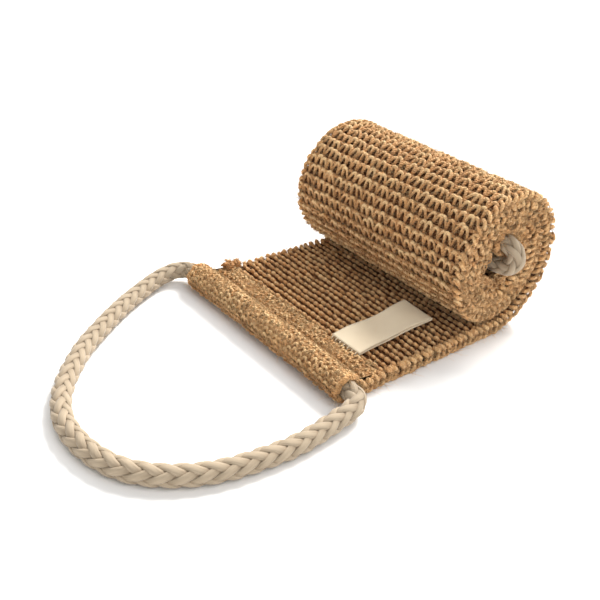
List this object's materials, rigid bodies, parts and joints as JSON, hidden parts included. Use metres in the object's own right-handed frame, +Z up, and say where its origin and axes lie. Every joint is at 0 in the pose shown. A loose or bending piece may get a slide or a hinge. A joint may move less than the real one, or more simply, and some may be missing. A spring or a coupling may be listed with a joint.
{
  "type": "back scrubber",
  "caption": "Knitted jute back-scrubbing band, partly rolled up, with a braided cotton rope handle through the hem at each end and a blank tape label.",
  "frame": {"origin": "on the resting face, under the middle of the part of the band that lies flat", "axes": "+X along the flat part towards the roll, +Y across the band, +Z up"},
  "size_m": [0.2118, 0.1312, 0.0645],
  "materials": {
    "jute_knit": "coarse knitted jute",
    "jute_yarn": "twisted jute yarn",
    "cotton_rope": "braided natural cotton",
    "cotton_tape": "woven cotton tape, blank",
    "cotton_thread": "cotton sewing thread"
  },
  "bodies": {
    "flat_band": {"hem_front": "jute_knit", "hem_front_stitches": "jute_yarn", "band_flat": "jute_knit", "edge_knot": "jute_yarn", "label_stitches": "cotton_thread"},
    "label_tape": {"label": "cotton_tape"},
    "front_handle": {"handle_rope_front": "cotton_rope", "rope_ends_front": "cotton_rope", "rope_whipping_front": "cotton_thread"},
    "roll_01": {"band_section_01": "jute_knit"},
    "roll_02": {"band_section_02": "jute_knit"},
    "roll_03": {"band_section_03": "jute_knit"},
    "roll_04": {"band_section_04": "jute_knit"},
    "roll_05": {"band_section_05": "jute_knit"},
    "roll_06": {"band_section_06": "jute_knit"},
    "roll_07": {"band_section_07": "jute_knit"},
    "roll_08": {"band_section_08": "jute_knit"},
    "roll_09": {"band_section_09": "jute_knit"},
    "roll_10": {"band_section_10": "jute_knit"},
    "roll_11": {"band_section_11": "jute_knit"},
    "roll_12": {"band_section_12": "jute_knit"},
    "roll_13": {"band_section_13": "jute_knit"},
    "roll_14": {"band_section_14": "jute_knit"},
    "roll_15": {"band_section_15": "jute_knit"},
    "roll_16": {"band_section_16": "jute_knit"},
    "roll_17": {"band_section_17": "jute_knit"},
    "roll_18": {"band_section_18": "jute_knit"},
    "roll_19": {"band_section_19": "jute_knit", "hem_back_stitches": "jute_yarn"},
    "roll_20": {"band_section_20": "jute_knit", "hem_back": "jute_knit"},
    "back_handle": {"handle_rope_back": "cotton_rope", "rope_ends_back": "cotton_rope", "rope_whipping_back": "cotton_thread"}
  },
  "joints": [
    {"name": "unroll_01", "type": "hinge", "parent": "flat_band", "child": "roll_01", "pos_m": [0.0569, 0, 0.00482], "axis": [0, 1, 0], "range_deg": [0, 45]},
    {"name": "unroll_02", "type": "hinge", "parent": "roll_01", "child": "roll_02", "pos_m": [0.07351, 0, 0.02138], "axis": [0, 1, 0], "range_deg": [0, 45]},
    {"name": "unroll_03", "type": "hinge", "parent": "roll_02", "child": "roll_03", "pos_m": [0.07356, 0, 0.04414], "axis": [0, 1, 0], "range_deg": [0, 45]},
    {"name": "unroll_04", "type": "hinge", "parent": "roll_03", "child": "roll_04", "pos_m": [0.05798, 0, 0.05979], "axis": [0, 1, 0], "range_deg": [0, 45]},
    {"name": "unroll_05", "type": "hinge", "parent": "roll_04", "child": "roll_05", "pos_m": [0.03659, 0, 0.05983], "axis": [0, 1, 0], "range_deg": [0, 45]},
    {"name": "unroll_06", "type": "hinge", "parent": "roll_05", "child": "roll_06", "pos_m": [0.02192, 0, 0.04522], "axis": [0, 1, 0], "range_deg": [0, 45]},
    {"name": "unroll_07", "type": "hinge", "parent": "roll_06", "child": "roll_07", "pos_m": [0.02187, 0, 0.02521], "axis": [0, 1, 0], "range_deg": [0, 45]},
    {"name": "unroll_08", "type": "hinge", "parent": "roll_07", "child": "roll_08", "pos_m": [0.03551, 0, 0.01151], "axis": [0, 1, 0], "range_deg": [0, 45]},
    {"name": "unroll_09", "type": "hinge", "parent": "roll_08", "child": "roll_09", "pos_m": [0.05415, 0, 0.01146], "axis": [0, 1, 0], "range_deg": [0, 45]},
    {"name": "unroll_10", "type": "hinge", "parent": "roll_09", "child": "roll_10", "pos_m": [0.06688, 0, 0.02413], "axis": [0, 1, 0], "range_deg": [0, 45]},
    {"name": "unroll_11", "type": "hinge", "parent": "roll_10", "child": "roll_11", "pos_m": [0.06692, 0, 0.04139], "axis": [0, 1, 0], "range_deg": [0, 45]},
    {"name": "unroll_12", "type": "hinge", "parent": "roll_11", "child": "roll_12", "pos_m": [0.05523, 0, 0.05315], "axis": [0, 1, 0], "range_deg": [0, 45]},
    {"name": "unroll_13", "type": "hinge", "parent": "roll_12", "child": "roll_13", "pos_m": [0.03934, 0, 0.0532], "axis": [0, 1, 0], "range_deg": [0, 45]},
    {"name": "unroll_14", "type": "hinge", "parent": "roll_13", "child": "roll_14", "pos_m": [0.02855, 0, 0.04248], "axis": [0, 1, 0], "range_deg": [0, 45]},
    {"name": "unroll_15", "type": "hinge", "parent": "roll_14", "child": "roll_15", "pos_m": [0.02851, 0, 0.02796], "axis": [0, 1, 0], "range_deg": [0, 45]},
    {"name": "unroll_16", "type": "hinge", "parent": "roll_15", "child": "roll_16", "pos_m": [0.03825, 0, 0.01814], "axis": [0, 1, 0], "range_deg": [0, 45]},
    {"name": "unroll_17", "type": "hinge", "parent": "roll_16", "child": "roll_17", "pos_m": [0.0514, 0, 0.0181], "axis": [0, 1, 0], "range_deg": [0, 45]},
    {"name": "unroll_18", "type": "hinge", "parent": "roll_17", "child": "roll_18", "pos_m": [0.06024, 0, 0.02687], "axis": [0, 1, 0], "range_deg": [0, 45]},
    {"name": "unroll_19", "type": "hinge", "parent": "roll_18", "child": "roll_19", "pos_m": [0.06029, 0, 0.03864], "axis": [0, 1, 0], "range_deg": [0, 45]},
    {"name": "unroll_20", "type": "hinge", "parent": "roll_19", "child": "roll_20", "pos_m": [0.05248, 0, 0.04652], "axis": [0, 1, 0], "range_deg": [0, 45]},
    {"name": "back_handle_swing", "type": "hinge", "parent": "roll_20", "child": "back_handle", "pos_m": [0.04411, 0.0025, 0.04387], "axis": [0, 1, 0], "range_deg": [0, 72]},
    {"name": "front_handle_swing", "type": "hinge", "parent": "flat_band", "child": "front_handle", "pos_m": [-0.0388, 0, 0.0062], "axis": [0, 1, 0], "range_deg": [0, 125]},
    {"name": "label_lift", "type": "hinge", "parent": "flat_band", "child": "label_tape", "pos_m": [-0.0215, -0.029, 0.0075], "axis": [0, -1, 0], "range_deg": [0, 150]}
  ],
  "couplings": [
    {"joint": "unroll_01", "follows": "unroll_20", "ratio": 1},
    {"joint": "unroll_02", "follows": "unroll_20", "ratio": 1},
    {"joint": "unroll_03", "follows": "unroll_20", "ratio": 1},
    {"joint": "unroll_04", "follows": "unroll_20", "ratio": 1},
    {"joint": "unroll_05", "follows": "unroll_20", "ratio": 1},
    {"joint": "unroll_06", "follows": "unroll_20", "ratio": 1},
    {"joint": "unroll_07", "follows": "unroll_20", "ratio": 1},
    {"joint": "unroll_08", "follows": "unroll_20", "ratio": 1},
    {"joint": "unroll_09", "follows": "unroll_20", "ratio": 1},
    {"joint": "unroll_10", "follows": "unroll_20", "ratio": 1},
    {"joint": "unroll_11", "follows": "unroll_20", "ratio": 1},
    {"joint": "unroll_12", "follows": "unroll_20", "ratio": 1},
    {"joint": "unroll_13", "follows": "unroll_20", "ratio": 1},
    {"joint": "unroll_14", "follows": "unroll_20", "ratio": 1},
    {"joint": "unroll_15", "follows": "unroll_20", "ratio": 1},
    {"joint": "unroll_16", "follows": "unroll_20", "ratio": 1},
    {"joint": "unroll_17", "follows": "unroll_20", "ratio": 1},
    {"joint": "unroll_18", "follows": "unroll_20", "ratio": 1},
    {"joint": "unroll_19", "follows": "unroll_20", "ratio": 1},
    {"joint": "back_handle_swing", "follows": "unroll_20", "ratio": 1.6}
  ]
}
